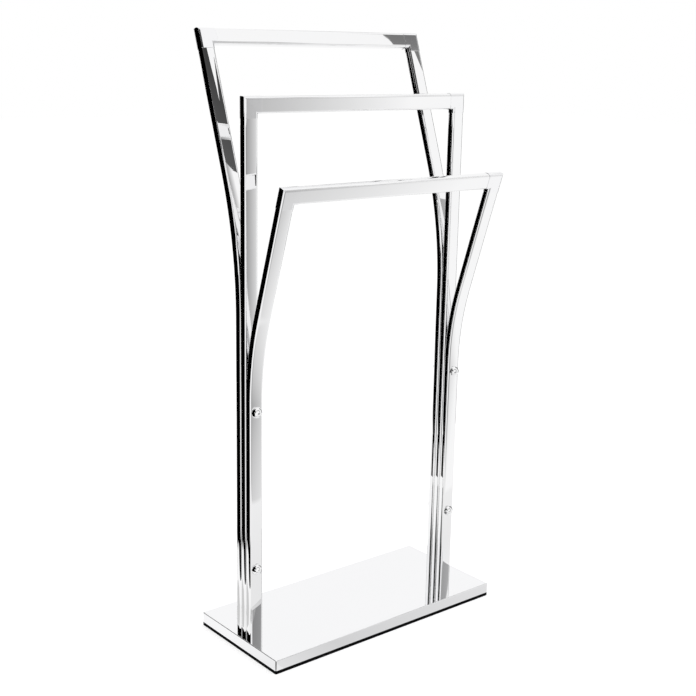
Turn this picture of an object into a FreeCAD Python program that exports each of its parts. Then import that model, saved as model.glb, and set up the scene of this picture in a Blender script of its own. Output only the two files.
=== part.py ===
import FreeCAD, Part
import math
import os
import Sketcher

# Freestanding towel stand: three nested chrome frames on a weighted plate.
# Millimetres. +X to the user's right, +Y to the back, +Z up; the origin is the centre of the
# plate's underside. Every leg is one flat tube of the same section; the three legs of a side stand
# in one row, face to face. The middle frame is straight, the front one leans forward above the
# upper tie bolt, and the back one leans back higher up.

# A size written as a formula follows from the sizes above it.
SIZES = {
    # base plate
    "base_width": 440.0,          # along X, over the cover's skirts
    "base_depth": 198.0,          # along Y
    "base_height": 21.8,          # floor to the cover's top
    "underlay_thickness": 5.4,    # the black edge under the chrome
    "cover_sheet": 1.2,
    "cover_corner_radius": 2.4,   # upright corners
    "cover_edge_radius": 1.1,     # folded top edge
    "ballast_thickness": 4.0,
    "filler_gap": 0.3,            # board and ballast inside the skirts
    # frames
    "frame_inset": 10.0,          # from the plate's end to a leg's outer face
    "frame_width": "=base_width - 2 * frame_inset",    # over the outer faces of both legs
    "tube_face": 24.0,            # the wide side of the section, seen from the front
    "tube_depth": 12.5,           # the narrow side, also the pitch of the legs
    "tube_radius": 4.0,
    "tube_wall": 1.2,
    "middle_height": 827.0,       # floor to the top of the straight frame
    "front_bend_height": 390.0,   # floor to the start of the bend
    "front_bend_radius": 430.0,
    "front_lean": 17.6,           # degrees from upright
    "front_run": 200.0,           # straight length above the bend, to the frame's top
    "back_bend_height": 513.0,
    "back_bend_radius": 627.0,
    "back_lean": 19.2,            # degrees from upright
    "back_run": 209.0,
    # cast elbows
    "elbow_arm": 30.0,            # corner to seam, along either arm
    "elbow_step": 0.5,            # the casting stands this proud of the tube
    "elbow_edge_radius": "=tube_radius + elbow_step",
    "spigot_length": 18.0,
    "spigot_gap": 0.1,            # spigot in its tube, each side
    "spigot_lead": 1.2,
    # foot plugs and the screws that hold the legs down
    "plug_height": 22.0,
    "plug_gap": 0.1,
    "screw_diameter": 6.0,
    "screw_reach": 14.0,          # thread in the plug
    "hole_gap": 0.25,             # clearance holes, each side
    "thread_gap": 0.05,           # screw in its thread, each side
    "thread_lead": 0.8,           # bevel at a thread's tip
    "washer_thickness": 1.2,
    "washer_spacing": 0.5,        # between the washers of neighbouring legs
    "washer_diameter": "=tube_depth - washer_spacing",
    "washer_rim": 0.75,           # washer past the screw's head, each side
    "screw_head_diameter": "=washer_diameter - 2 * washer_rim",
    "floor_clearance": 0.2,       # floor to a screw's head
    "screw_head_height": "=underlay_thickness - washer_thickness - floor_clearance",
    "head_bevel": 1.2,            # rounded-off foot of the pan head, across and up
    "head_bevel_height": 1.6,
    "pocket_gap": 1.5,            # screw-head pockets in the underlay, round the washers
    "pocket_width": "=washer_diameter + 2 * pocket_gap",
    "pocket_end_gap": 3.0,
    "pocket_margin": "=washer_diameter / 2 + pocket_end_gap",    # past the outer screws
    "pocket_end_flat": 0.5,       # what the pocket's corner arcs leave straight, each side
    # tie bolts through the three legs of a side
    "lower_bolt_height": 132.0,
    "bolt_below_bend": 12.0,      # the upper bolt's head seats under the front bend
    "upper_bolt_height": "=front_bend_height - bolt_below_bend",
    "bolt_diameter": 6.0,
    "bolt_reach": 5.0,            # thread in the dome nut
    "dome_diameter": 17.2,
    "dome_height": 8.2,
    "dome_rim": 0.9,
    "nut_floor": 2.2,             # under the nut's blind bore
}
TOUCH = 1e-6                      # slack when a point's place is tested

doc = FreeCAD.newDocument("towel_stand")
sheet = doc.addObject("Spreadsheet::Sheet", "Sizes")
for row, (alias, size) in enumerate(SIZES.items(), start=1):
    sheet.set(f"A{row}", alias)
    sheet.set(f"B{row}", str(size))
    sheet.setAlias(f"B{row}", alias)
doc.recompute()

NODES = []


# Sizes and places ---------------------------------------------------------------------------

def cell(name):
    return f"Sizes.{name}"


def number(expression):
    """The value of an expression on the sheet."""
    result = sheet.evalExpression(expression)
    return float(getattr(result, "Value", result))


LEG_X = "(Sizes.frame_width - Sizes.tube_face) / 2"
ROW_PITCH = cell("tube_depth")
HOLE = "(Sizes.screw_diameter + 2 * Sizes.hole_gap)"
BOLT_HOLE = "(Sizes.bolt_diameter + 2 * Sizes.hole_gap)"
INNER_FACE = "(Sizes.tube_face - 2 * Sizes.tube_wall)"
INNER_DEPTH = "(Sizes.tube_depth - 2 * Sizes.tube_wall)"
INNER_RADIUS = "(Sizes.tube_radius - Sizes.tube_wall)"
ARM = "(Sizes.elbow_arm - Sizes.tube_face / 2)"     # the tubes' centre lines' crossing to a seam
BOARD_TOP = "(Sizes.base_height - Sizes.cover_sheet)"
BALLAST_TOP = "(Sizes.underlay_thickness + Sizes.ballast_thickness)"


class Frame:
    """Where one frame stands: its row on the plate, its lean and the crossing of its centre lines."""

    def __init__(self, name, side):
        self.name = name
        self.side = side                      # -1 leans forward, 0 straight, +1 leans back
        self.row = f"({side} * {ROW_PITCH})"
        if side:
            bend, radius = cell(f"{name}_bend_height"), cell(f"{name}_bend_radius")
            self.lean = cell(f"{name}_lean")
            self.run = cell(f"{name}_run")
            self.rise = f"({bend} - Sizes.base_height)"
            self.radius = radius
            reach = f"({self.run} - Sizes.tube_face / 2)"
            out = f"({radius} * (1 - cos({self.lean} * 1 deg)) + {reach} * sin({self.lean} * 1 deg))"
            self.y = f"({self.row} + {side} * {out})"
            self.z = f"({bend} + {radius} * sin({self.lean} * 1 deg) + {reach} * cos({self.lean} * 1 deg))"
            self.roll = f"({-side} * {self.lean})"
        else:
            self.rise = "(Sizes.middle_height - Sizes.base_height)"
            self.y = self.row
            self.z = "(Sizes.middle_height - Sizes.tube_face / 2)"
            self.roll = "0"


FRAMES = [Frame("front", -1), Frame("middle", 0), Frame("back", 1)]
SIDES = {"left": -1, "right": 1}


# Bodies and sketches ------------------------------------------------------------------------

def new_body(label, x="0", y="0", z="0", yaw="0", roll="0"):
    body = doc.addObject("PartDesign::Body", label)
    body.Label = label
    body.setExpression("Placement", f"placement(vector({x}; {y}; {z}); rotation({yaw}; 0; {roll}))")
    NODES.append(body)
    return body


def origin_feature(body, role):
    return next(f for f in body.Origin.OriginFeatures if f.Role == role)


def new_sketch(body, name, role, offset=None):
    sketch = body.newObject("Sketcher::SketchObject", name)
    sketch.AttachmentSupport = [(origin_feature(body, role), "")]
    sketch.MapMode = "FlatFace"
    if offset:
        sketch.setExpression("AttachmentOffset.Base.z", offset)
    return sketch


def dimension(sketch, expression, *what):
    """Adds a dimension that follows an expression."""
    value = number(expression)
    if what[0] == "Angle":
        value = math.radians(value)
    index = sketch.addConstraint(Sketcher.Constraint(*what, value))
    sketch.setExpression(f"Constraints[{index}]", expression)


def tie(sketch, geometry, point, x, y):
    """Ties a point to the sketch's origin. None keeps it on the axis; a leading minus mirrors it."""
    for kind, axis, text in (("DistanceX", -2, x), ("DistanceY", -1, y)):
        if text is None:
            sketch.addConstraint(Sketcher.Constraint("PointOnObject", geometry, point, axis))
        elif text.startswith("-"):
            dimension(sketch, text[1:], kind, geometry, point, -1, 1)
        else:
            dimension(sketch, text, kind, -1, 1, geometry, point)


def circle(sketch, diameter, x=None, y=None):
    signs = [0 if t is None else -1 if t.startswith("-") else 1 for t in (x, y)]
    sizes = [0 if t is None else number(t.lstrip("-")) for t in (x, y)]
    centre = FreeCAD.Vector(signs[0] * sizes[0], signs[1] * sizes[1], 0)
    up = FreeCAD.Vector(0, 0, 1)
    geometry = sketch.addGeometry(Part.Circle(centre, up, number(diameter) / 2))
    tie(sketch, geometry, 3, x, y)
    dimension(sketch, diameter, "Diameter", geometry)


def rounded_rectangle(sketch, width, height, radius):
    """A centred rectangle with four tangent corner arcs."""
    x, y, r = number(width) / 2, number(height) / 2, number(radius)
    up = FreeCAD.Vector(0, 0, 1)

    def line(x0, y0, x1, y1):
        ends = FreeCAD.Vector(x0, y0, 0), FreeCAD.Vector(x1, y1, 0)
        return sketch.addGeometry(Part.LineSegment(*ends))

    def arc(cx, cy, start):
        ring = Part.Circle(FreeCAD.Vector(cx, cy, 0), up, r)
        angles = math.radians(start), math.radians(start + 90)
        return sketch.addGeometry(Part.ArcOfCircle(ring, *angles))

    lines = [line(r - x, -y, x - r, -y), line(x, r - y, x, y - r),
             line(x - r, y, r - x, y), line(-x, y - r, -x, r - y)]
    arcs = [arc(x - r, r - y, -90), arc(x - r, y - r, 0), arc(r - x, y - r, 90), arc(r - x, r - y, 180)]
    for i in range(4):
        sketch.addConstraint(Sketcher.Constraint("Tangent", lines[i], 2, arcs[i], 1))
        sketch.addConstraint(Sketcher.Constraint("Tangent", arcs[i], 2, lines[(i + 1) % 4], 1))
        sketch.addConstraint(Sketcher.Constraint("Horizontal" if i % 2 == 0 else "Vertical", lines[i]))
    for other in arcs[1:]:
        sketch.addConstraint(Sketcher.Constraint("Equal", arcs[0], other))
    sketch.addConstraint(Sketcher.Constraint("Symmetric", arcs[0], 3, arcs[2], 3, -1, 1))
    dimension(sketch, radius, "Radius", arcs[0])
    dimension(sketch, width, "DistanceX", lines[3], 1, lines[1], 1)
    dimension(sketch, height, "DistanceY", lines[0], 1, lines[2], 1)


def tube_section(sketch, turned=False):
    """The flat tube's section, wall and bore: wide along X, or along Y when turned."""
    sizes = [(cell("tube_face"), cell("tube_depth"), cell("tube_radius")),
             (INNER_FACE, INNER_DEPTH, INNER_RADIUS)]
    for face, depth, radius in sizes:
        wide, tall = (depth, face) if turned else (face, depth)
        rounded_rectangle(sketch, wide, tall, radius)


def pad(body, sketch, length, midplane=False, reverse=False):
    feature = body.newObject("PartDesign::Pad", sketch.Name + "Pad")
    feature.Profile = sketch
    feature.setExpression("Length", length)
    if midplane:
        feature.SideType = "Symmetric"
    feature.Reversed = reverse
    return feature


def pocket(body, sketch, length=None, reverse=False):
    """A cut of a given depth, or right through both ways."""
    feature = body.newObject("PartDesign::Pocket", sketch.Name + "Pocket")
    feature.Profile = sketch
    if length:
        feature.setExpression("Length", length)
        feature.Reversed = reverse
    else:
        feature.Type = "ThroughAll"
        feature.SideType = "Symmetric"
    return feature


def revolve(body, sketch):
    feature = body.newObject("PartDesign::Revolution", sketch.Name + "Turned")
    feature.Profile = sketch
    feature.ReferenceAxis = (sketch, ["V_Axis"])
    feature.Angle = 360.0
    return feature


def repeat(body, feature, role, span, count):
    """Copies of a feature along one of the body's axes, evenly over a span."""
    pattern = body.newObject("PartDesign::LinearPattern", feature.Name + "Row")
    pattern.Originals = [feature]
    pattern.Direction = (origin_feature(body, role), [""])
    pattern.setExpression("Length", span)
    pattern.Occurrences = count
    body.Tip = pattern
    return pattern


def dress_edges(body, kind, name, size, test):
    """A Fillet or Chamfer on the edges whose ends and middle pass a test of their place."""
    doc.recompute()
    base = body.Tip
    names = []
    for index, edge in enumerate(base.Shape.Edges, start=1):
        middle = edge.valueAt((edge.FirstParameter + edge.LastParameter) / 2)
        if all(test(p) for p in [v.Point for v in edge.Vertexes] + [middle]):
            names.append(f"Edge{index}")
    feature = body.newObject(f"PartDesign::{kind}", name)
    feature.Base = (base, names)
    feature.setExpression("Radius" if kind == "Fillet" else "Size", size)


# Base plate ---------------------------------------------------------------------------------

def screw_holes(sketch):
    """The six clearance holes, one under each leg."""
    for x in (f"-{LEG_X}", LEG_X):
        for y in (f"-{ROW_PITCH}", None, ROW_PITCH):
            circle(sketch, HOLE, x, y)


def base_cover():
    """Folded chrome sheet: a shallow tray turned upside down over the board."""
    height = "(Sizes.base_height - Sizes.underlay_thickness)"
    body = new_body("base_cover", z=cell("underlay_thickness"))
    outline = new_sketch(body, "CoverOutline", "XY_Plane")
    rounded_rectangle(outline, cell("base_width"), cell("base_depth"), cell("cover_corner_radius"))
    pad(body, outline, height)
    top = number(height)
    dress_edges(body, "Fillet", "CoverFold", cell("cover_edge_radius"), lambda p: p.z > top - TOUCH)
    inside = new_sketch(body, "CoverInside", "XY_Plane")
    rounded_rectangle(inside, "Sizes.base_width - 2 * Sizes.cover_sheet",
                      "Sizes.base_depth - 2 * Sizes.cover_sheet",
                      "Sizes.cover_corner_radius - Sizes.cover_sheet")
    pocket(body, inside, f"{height} - Sizes.cover_sheet", reverse=True)
    holes = new_sketch(body, "CoverHoles", "XY_Plane")
    screw_holes(holes)
    pocket(body, holes)


def filler(label, low, thickness):
    """A layer inside the cover, clear of its skirts, with the six screw holes."""
    body = new_body(label, z=low)
    outline = new_sketch(body, label + "_outline", "XY_Plane")
    inset = "2 * (Sizes.cover_sheet + Sizes.filler_gap)"
    rounded_rectangle(outline, f"Sizes.base_width - {inset}", f"Sizes.base_depth - {inset}",
                      "Sizes.cover_corner_radius")
    pad(body, outline, thickness)
    holes = new_sketch(body, label + "_holes", "XY_Plane")
    screw_holes(holes)
    pocket(body, holes)


def base_underlay():
    """The black mat under the plate, with a long pocket for the screw heads of either side."""
    body = new_body("base_underlay")
    outline = new_sketch(body, "UnderlayOutline", "XY_Plane")
    rounded_rectangle(outline, cell("base_width"), cell("base_depth"), cell("cover_corner_radius"))
    pad(body, outline, cell("underlay_thickness"))
    for side, sign in SIDES.items():
        slot = new_sketch(body, f"UnderlaySlot{side.title()}", "XY_Plane")
        slot.setExpression("AttachmentOffset.Base.x", f"{sign} * {LEG_X}")
        rounded_rectangle(slot, cell("pocket_width"), f"2 * ({ROW_PITCH} + Sizes.pocket_margin)",
                          "Sizes.pocket_width / 2 - Sizes.pocket_end_flat")
        pocket(body, slot)


# Frames -------------------------------------------------------------------------------------

def bolt_holes(body):
    """Cross holes for the two tie bolts, through both walls."""
    holes = new_sketch(body, body.Label + "_bolt_holes", "XZ_Plane")
    for height in ("lower_bolt_height", "upper_bolt_height"):
        circle(holes, BOLT_HOLE, None, f"{cell(height)} - Sizes.base_height")
    pocket(body, holes)


def leg_path(body, frame):
    """Upright run, bend and leaning run, in the leg's own side plane."""
    sketch = new_sketch(body, body.Label + "_path", "YZ_Plane")
    rise, radius, lean = number(frame.rise), number(frame.radius), math.radians(number(frame.lean))
    run = number(frame.run) - number(cell("elbow_arm"))
    turn = FreeCAD.Vector(radius * (1 - math.cos(lean)), rise + radius * math.sin(lean), 0)
    end = turn + FreeCAD.Vector(math.sin(lean), math.cos(lean), 0) * run
    ring = Part.Circle(FreeCAD.Vector(radius, rise, 0), FreeCAD.Vector(0, 0, 1), radius)
    lower = sketch.addGeometry(Part.LineSegment(FreeCAD.Vector(), FreeCAD.Vector(0, rise, 0)))
    bend = sketch.addGeometry(Part.ArcOfCircle(ring, math.pi - lean, math.pi))
    upper = sketch.addGeometry(Part.LineSegment(turn, end))
    sketch.addConstraint(Sketcher.Constraint("Coincident", lower, 1, -1, 1))
    sketch.addConstraint(Sketcher.Constraint("Vertical", lower))
    sketch.addConstraint(Sketcher.Constraint("Tangent", lower, 2, bend, 2))
    sketch.addConstraint(Sketcher.Constraint("Tangent", bend, 1, upper, 1))
    dimension(sketch, frame.rise, "Distance", lower)
    dimension(sketch, frame.radius, "Radius", bend)
    dimension(sketch, f"{frame.run} - Sizes.elbow_arm", "Distance", upper)
    dimension(sketch, f"90 - {frame.lean}", "Angle", upper)
    return sketch


def leg(frame, side):
    """One leg tube, from the plate to the elbow's seam. The front legs are turned half round."""
    body = new_body(f"{frame.name}_leg_{side}", f"{SIDES[side]} * {LEG_X}", frame.row,
                    cell("base_height"), "180" if frame.side < 0 else "0")
    section = new_sketch(body, body.Label + "_section", "XY_Plane")
    tube_section(section)
    if frame.side:
        path = leg_path(body, frame)
        sweep = body.newObject("PartDesign::AdditivePipe", body.Label + "_sweep")
        sweep.Profile = section
        sweep.Spine = (path, [])
    else:
        pad(body, section, f"{frame.rise} - Sizes.elbow_arm")
    doc.recompute()
    bolt_holes(body)


def top_bar(frame):
    """The straight tube between the elbows of one frame, which carries the towel."""
    body = new_body(f"{frame.name}_top_bar", y=frame.y, z=frame.z, roll=frame.roll)
    section = new_sketch(body, body.Label + "_section", "YZ_Plane")
    tube_section(section, turned=True)
    pad(body, section, "Sizes.frame_width - 2 * Sizes.elbow_arm", midplane=True)


def elbow(frame, side):
    """A cast corner: two mitred arms, a little proud of the tubes, and a spigot in either tube."""
    roll = frame.roll if side == "left" else f"-1 * {frame.roll}"
    body = new_body(f"{frame.name}_elbow_{side}", f"{SIDES[side]} * {LEG_X}", frame.y, frame.z,
                    "0" if side == "left" else "180", roll)
    name = body.Label
    section = new_sketch(body, name + "_section", "XY_Plane", f"-1 * {ARM}")
    rounded_rectangle(section, "Sizes.tube_face + 2 * Sizes.elbow_step",
                      "Sizes.tube_depth + 2 * Sizes.elbow_step", cell("elbow_edge_radius"))
    path = new_sketch(body, name + "_path", "XZ_Plane")
    arm = number(ARM)
    corner = FreeCAD.Vector()
    down = path.addGeometry(Part.LineSegment(FreeCAD.Vector(0, -arm, 0), corner))
    across = path.addGeometry(Part.LineSegment(corner, FreeCAD.Vector(arm, 0, 0)))
    path.addConstraint(Sketcher.Constraint("Coincident", down, 2, -1, 1))
    path.addConstraint(Sketcher.Constraint("Coincident", across, 1, -1, 1))
    path.addConstraint(Sketcher.Constraint("Vertical", down))
    path.addConstraint(Sketcher.Constraint("Horizontal", across))
    dimension(path, ARM, "Distance", down)
    dimension(path, ARM, "Distance", across)
    sweep = body.newObject("PartDesign::AdditivePipe", name + "_arms")
    sweep.Profile = section
    sweep.Spine = (path, [])
    sweep.Transition = "Right corner"
    doc.recompute()
    face, depth = (f"({size} - 2 * Sizes.spigot_gap)" for size in (INNER_FACE, INNER_DEPTH))
    radius = f"({INNER_RADIUS} - Sizes.spigot_gap)"
    low = new_sketch(body, name + "_low_spigot", "XY_Plane", f"-1 * {ARM}")
    rounded_rectangle(low, face, depth, radius)
    pad(body, low, cell("spigot_length"), reverse=True)
    end = new_sketch(body, name + "_end_spigot", "YZ_Plane", ARM)
    rounded_rectangle(end, depth, face, radius)
    pad(body, end, cell("spigot_length"))
    tip = number(ARM) + number(cell("spigot_length"))
    dress_edges(body, "Chamfer", name + "_lead", cell("spigot_lead"),
                lambda p: p.x > tip - TOUCH or p.z < TOUCH - tip)


# Fasteners ----------------------------------------------------------------------------------

def foot_plugs(side):
    """Threaded blocks set in the foot of each leg."""
    body = new_body(f"foot_plugs_{side}", f"{SIDES[side]} * {LEG_X}", f"-1 * {ROW_PITCH}", cell("base_height"))
    outline = new_sketch(body, body.Label + "_outline", "XY_Plane")
    rounded_rectangle(outline, f"{INNER_FACE} - 2 * Sizes.plug_gap", f"{INNER_DEPTH} - 2 * Sizes.plug_gap",
                      f"{INNER_RADIUS} - Sizes.plug_gap")
    circle(outline, "Sizes.screw_diameter + 2 * Sizes.thread_gap")
    block = pad(body, outline, cell("plug_height"))
    repeat(body, block, "Y_Axis", f"2 * {ROW_PITCH}", 3)


def turned_profile(sketch, points):
    """A closed outline of straight lines, in the quarter right of and above the sketch's origin."""
    vectors = [FreeCAD.Vector(*(0 if t is None else number(t) for t in point), 0) for point in points]
    count = len(points)
    lines = [sketch.addGeometry(Part.LineSegment(vectors[i], vectors[(i + 1) % count])) for i in range(count)]
    for i, point in enumerate(points):
        sketch.addConstraint(Sketcher.Constraint("Coincident", lines[i - 1], 2, lines[i], 1))
        tie(sketch, lines[i], 1, *point)
    return lines


def leg_screws(side):
    """Pan-head screws, up through the ballast, the board and the cover into the plugs."""
    seat = "(Sizes.underlay_thickness - Sizes.washer_thickness)"
    body = new_body(f"leg_screws_{side}", f"{SIDES[side]} * {LEG_X}", f"-1 * {ROW_PITCH}",
                    f"{seat} - Sizes.screw_head_height")
    profile = new_sketch(body, body.Label + "_profile", "XZ_Plane")
    end = f"Sizes.screw_head_height + Sizes.base_height + Sizes.screw_reach - {seat}"
    edge, shank = "Sizes.screw_head_diameter / 2", "Sizes.screw_diameter / 2"
    turned_profile(profile, [(None, None), (f"{edge} - Sizes.head_bevel", None), (edge, cell("head_bevel_height")),
                             (edge, cell("screw_head_height")), (shank, cell("screw_head_height")),
                             (shank, f"{end} - Sizes.thread_lead"), (f"{shank} - Sizes.thread_lead", end),
                             (None, end)])
    screw = revolve(body, profile)
    repeat(body, screw, "Y_Axis", f"2 * {ROW_PITCH}", 3)


def leg_washers(side):
    body = new_body(f"leg_washers_{side}", f"{SIDES[side]} * {LEG_X}", f"-1 * {ROW_PITCH}",
                    "Sizes.underlay_thickness - Sizes.washer_thickness")
    ring = new_sketch(body, body.Label + "_ring", "XY_Plane")
    circle(ring, cell("washer_diameter"))
    circle(ring, HOLE)
    washer = pad(body, ring, cell("washer_thickness"))
    repeat(body, washer, "Y_Axis", f"2 * {ROW_PITCH}", 3)


def dome(sketch, inner):
    """Half a domed head about the sketch's upright axis, apex at the origin: its open outline ends
    at the seat, where the shank or the bore takes over. Returns its last line."""
    width, height, rim = (number(cell(n)) for n in ("dome_diameter", "dome_height", "dome_rim"))
    crown = height - rim
    radius = ((width / 2) ** 2 + crown ** 2) / (2 * crown)
    ring = Part.Circle(FreeCAD.Vector(0, radius, 0), FreeCAD.Vector(0, 0, 1), radius)
    sweep = math.asin(min(1.0, width / 2 / radius))
    arc = sketch.addGeometry(Part.ArcOfCircle(ring, -math.pi / 2, -math.pi / 2 + sweep))
    edge = FreeCAD.Vector(width / 2, crown, 0)
    side = sketch.addGeometry(Part.LineSegment(edge, FreeCAD.Vector(width / 2, height, 0)))
    seat = sketch.addGeometry(Part.LineSegment(FreeCAD.Vector(width / 2, height, 0),
                                               FreeCAD.Vector(number(inner), height, 0)))
    sketch.addConstraint(Sketcher.Constraint("Coincident", arc, 1, -1, 1))
    sketch.addConstraint(Sketcher.Constraint("PointOnObject", arc, 3, -2))
    sketch.addConstraint(Sketcher.Constraint("Coincident", arc, 2, side, 1))
    sketch.addConstraint(Sketcher.Constraint("Coincident", side, 2, seat, 1))
    tie(sketch, side, 1, "Sizes.dome_diameter / 2", "Sizes.dome_height - Sizes.dome_rim")
    tie(sketch, seat, 1, "Sizes.dome_diameter / 2", cell("dome_height"))
    tie(sketch, seat, 2, inner, cell("dome_height"))
    return seat


def close_outline(sketch, last, points):
    """Lines from the end of one element through points, and back to the origin."""
    x, y = (sketch.getPoint(last, 2).x, sketch.getPoint(last, 2).y)
    start = FreeCAD.Vector(x, y, 0)
    for point in points + [(None, None)]:
        end = FreeCAD.Vector(*(0 if t is None else number(t) for t in point), 0)
        line = sketch.addGeometry(Part.LineSegment(start, end))
        sketch.addConstraint(Sketcher.Constraint("Coincident", last, 2, line, 1))
        if point == (None, None):
            sketch.addConstraint(Sketcher.Constraint("Coincident", line, 2, -1, 1))
        else:
            tie(sketch, line, 2, *point)
        last, start = line, end


def tie_bolts(level):
    """A pair of dome-head bolts, one on either side, through the three legs."""
    body = new_body(f"tie_bolts_{level}", f"-1 * {LEG_X}", f"-1.5 * {ROW_PITCH} - Sizes.dome_height",
                    cell(f"{level}_bolt_height"))
    profile = new_sketch(body, body.Label + "_profile", "XY_Plane")
    shank = "Sizes.bolt_diameter / 2"
    end = f"Sizes.dome_height + 3 * {ROW_PITCH} + Sizes.bolt_reach"
    close_outline(profile, dome(profile, shank), [(shank, f"{end} - Sizes.thread_lead"),
                                                  (f"{shank} - Sizes.thread_lead", end), (None, end)])
    bolt = revolve(body, profile)
    repeat(body, bolt, "X_Axis", f"2 * {LEG_X}", 2)


def dome_nuts(level):
    """The matching nuts behind the back legs, with a blind bore."""
    body = new_body(f"dome_nuts_{level}", LEG_X, f"1.5 * {ROW_PITCH} + Sizes.dome_height",
                    cell(f"{level}_bolt_height"), "180")
    profile = new_sketch(body, body.Label + "_profile", "XY_Plane")
    bore = "Sizes.bolt_diameter / 2 + Sizes.thread_gap"
    floor = cell("nut_floor")
    close_outline(profile, dome(profile, bore), [(bore, floor), (None, floor)])
    nut = revolve(body, profile)
    repeat(body, nut, "X_Axis", f"2 * {LEG_X}", 2)


# The whole stand ----------------------------------------------------------------------------

base_cover()
filler("core_board", BALLAST_TOP, f"{BOARD_TOP} - {BALLAST_TOP}")
filler("ballast_plate", cell("underlay_thickness"), cell("ballast_thickness"))
base_underlay()
for stand_frame in FRAMES:
    top_bar(stand_frame)
    for stand_side in SIDES:
        leg(stand_frame, stand_side)
        elbow(stand_frame, stand_side)
for stand_side in SIDES:
    foot_plugs(stand_side)
    leg_screws(stand_side)
    leg_washers(stand_side)
for bolt_level in ("lower", "upper"):
    tie_bolts(bolt_level)
    dome_nuts(bolt_level)
doc.recompute()


# Checks and files ---------------------------------------------------------------------------

for item in doc.Objects:
    if "Invalid" in item.State or "Error" in item.State:
        raise RuntimeError(f"{item.Label} did not build: {item.State}")
os.makedirs("parts", exist_ok=True)
for node in NODES:
    shape = node.Shape
    if shape.isNull() or not shape.isValid() or shape.Volume <= 0:
        raise RuntimeError(f"{node.Label} has no valid solid")
    shape.exportStep(f"parts/{node.Label}.step")
    box = shape.BoundBox
    print(f"{node.Label:22s} solids {len(shape.Solids)}  volume {shape.Volume:10.1f}  "
          f"z {box.ZMin:7.1f} to {box.ZMax:7.1f}")
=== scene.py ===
# %% [markdown]
# # Dressing a freestanding towel stand
#
# The stand is three nested chrome frames on a weighted plate. Nearly all that the eye gets from
# it is what its mirror surfaces reflect. So the lesson has two halves: first clean surfaces with
# their true corner radii, then a studio of white floor, white air and dark cards for them to
# reflect. Lengths are in metres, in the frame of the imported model.

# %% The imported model
import math

import bpy
from mathutils import Matrix, Vector


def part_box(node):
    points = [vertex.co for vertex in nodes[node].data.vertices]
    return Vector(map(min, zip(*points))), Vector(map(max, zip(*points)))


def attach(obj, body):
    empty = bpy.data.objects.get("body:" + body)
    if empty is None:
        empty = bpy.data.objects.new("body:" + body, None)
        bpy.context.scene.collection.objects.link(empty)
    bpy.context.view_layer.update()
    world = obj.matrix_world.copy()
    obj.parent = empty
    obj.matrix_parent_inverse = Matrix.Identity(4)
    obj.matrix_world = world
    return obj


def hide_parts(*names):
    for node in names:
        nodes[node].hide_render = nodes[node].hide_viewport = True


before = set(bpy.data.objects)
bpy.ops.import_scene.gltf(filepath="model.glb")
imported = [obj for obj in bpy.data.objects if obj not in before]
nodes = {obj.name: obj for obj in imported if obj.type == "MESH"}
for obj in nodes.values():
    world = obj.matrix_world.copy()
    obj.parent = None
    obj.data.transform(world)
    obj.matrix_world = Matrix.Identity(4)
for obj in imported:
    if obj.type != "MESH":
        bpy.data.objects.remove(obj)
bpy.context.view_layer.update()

# %% [markdown]
# ## Sizes read from the model
#
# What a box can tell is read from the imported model, so that the dressed pieces can't drift away
# from it. The whole stand follows from a few of these: the plate's top, the section of the flat
# tube, how far apart the legs stand, and where a bar ends and its elbow begins.

# %% Sizes
PLATE_LOW, PLATE_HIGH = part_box("base_cover")
PLATE_TOP = PLATE_HIGH.z
leg_low, leg_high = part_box("middle_leg_left")
TUBE_FACE = (leg_high - leg_low).x
TUBE_DEPTH = (leg_high - leg_low).y
LEG_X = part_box("middle_leg_right")[1].x - TUBE_FACE / 2
BAR_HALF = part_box("middle_top_bar")[1].x
MIDDLE_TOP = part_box("middle_top_bar")[1].z
ELBOW_ARM = LEG_X - BAR_HALF                 # from the crossing of the centre lines to a seam
print("tube:", round(TUBE_FACE, 4), "x", round(TUBE_DEPTH, 4), "legs at x:", round(LEG_X, 4))

# %% [markdown]
# ## The three frames
#
# A bend can't be read from a box, so its height, radius and lean are repeated here. Seen from
# the side a bent frame is an upright line, an arc, and a leaning run up to the crossing of the
# leg's and the bar's centre lines. Each frame's row and crossing are worked out once, because
# legs, bars and elbows all start from them.

# %% Frames
SIDES = {"left": -1, "right": 1}
FRAMES = {
    "front": dict(lean_to=-1, bend=0.390, radius=0.430, lean=math.radians(17.6), run=0.200),
    "middle": dict(lean_to=0, bend=None, radius=None, lean=0.0, run=None),
    "back": dict(lean_to=1, bend=0.513, radius=0.627, lean=math.radians(19.2), run=0.209),
}
for name, f in FRAMES.items():
    f["row"] = f["lean_to"] * TUBE_DEPTH
    if f["lean_to"]:
        reach = f["run"] - TUBE_FACE / 2
        out = f["radius"] * (1 - math.cos(f["lean"])) + reach * math.sin(f["lean"])
        f["y"] = f["row"] + f["lean_to"] * out
        f["z"] = f["bend"] + f["radius"] * math.sin(f["lean"]) + reach * math.cos(f["lean"])
    else:
        f["y"], f["z"] = f["row"], MIDDLE_TOP - TUBE_FACE / 2
    print(name, "crossing of centre lines:", round(f["y"], 4), round(f["z"], 4))

# %% [markdown]
# ## Camera
#
# The camera comes first, because the whole look of a mirror surface depends on where it is seen
# from. Its place, turn and focal length are the ones that put the stand's edges where the
# photograph has them: from the left and a little above, with a slight roll. A camera can be
# turned by Euler angles, but its three axes written as a matrix leave no doubt about their order.

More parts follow.
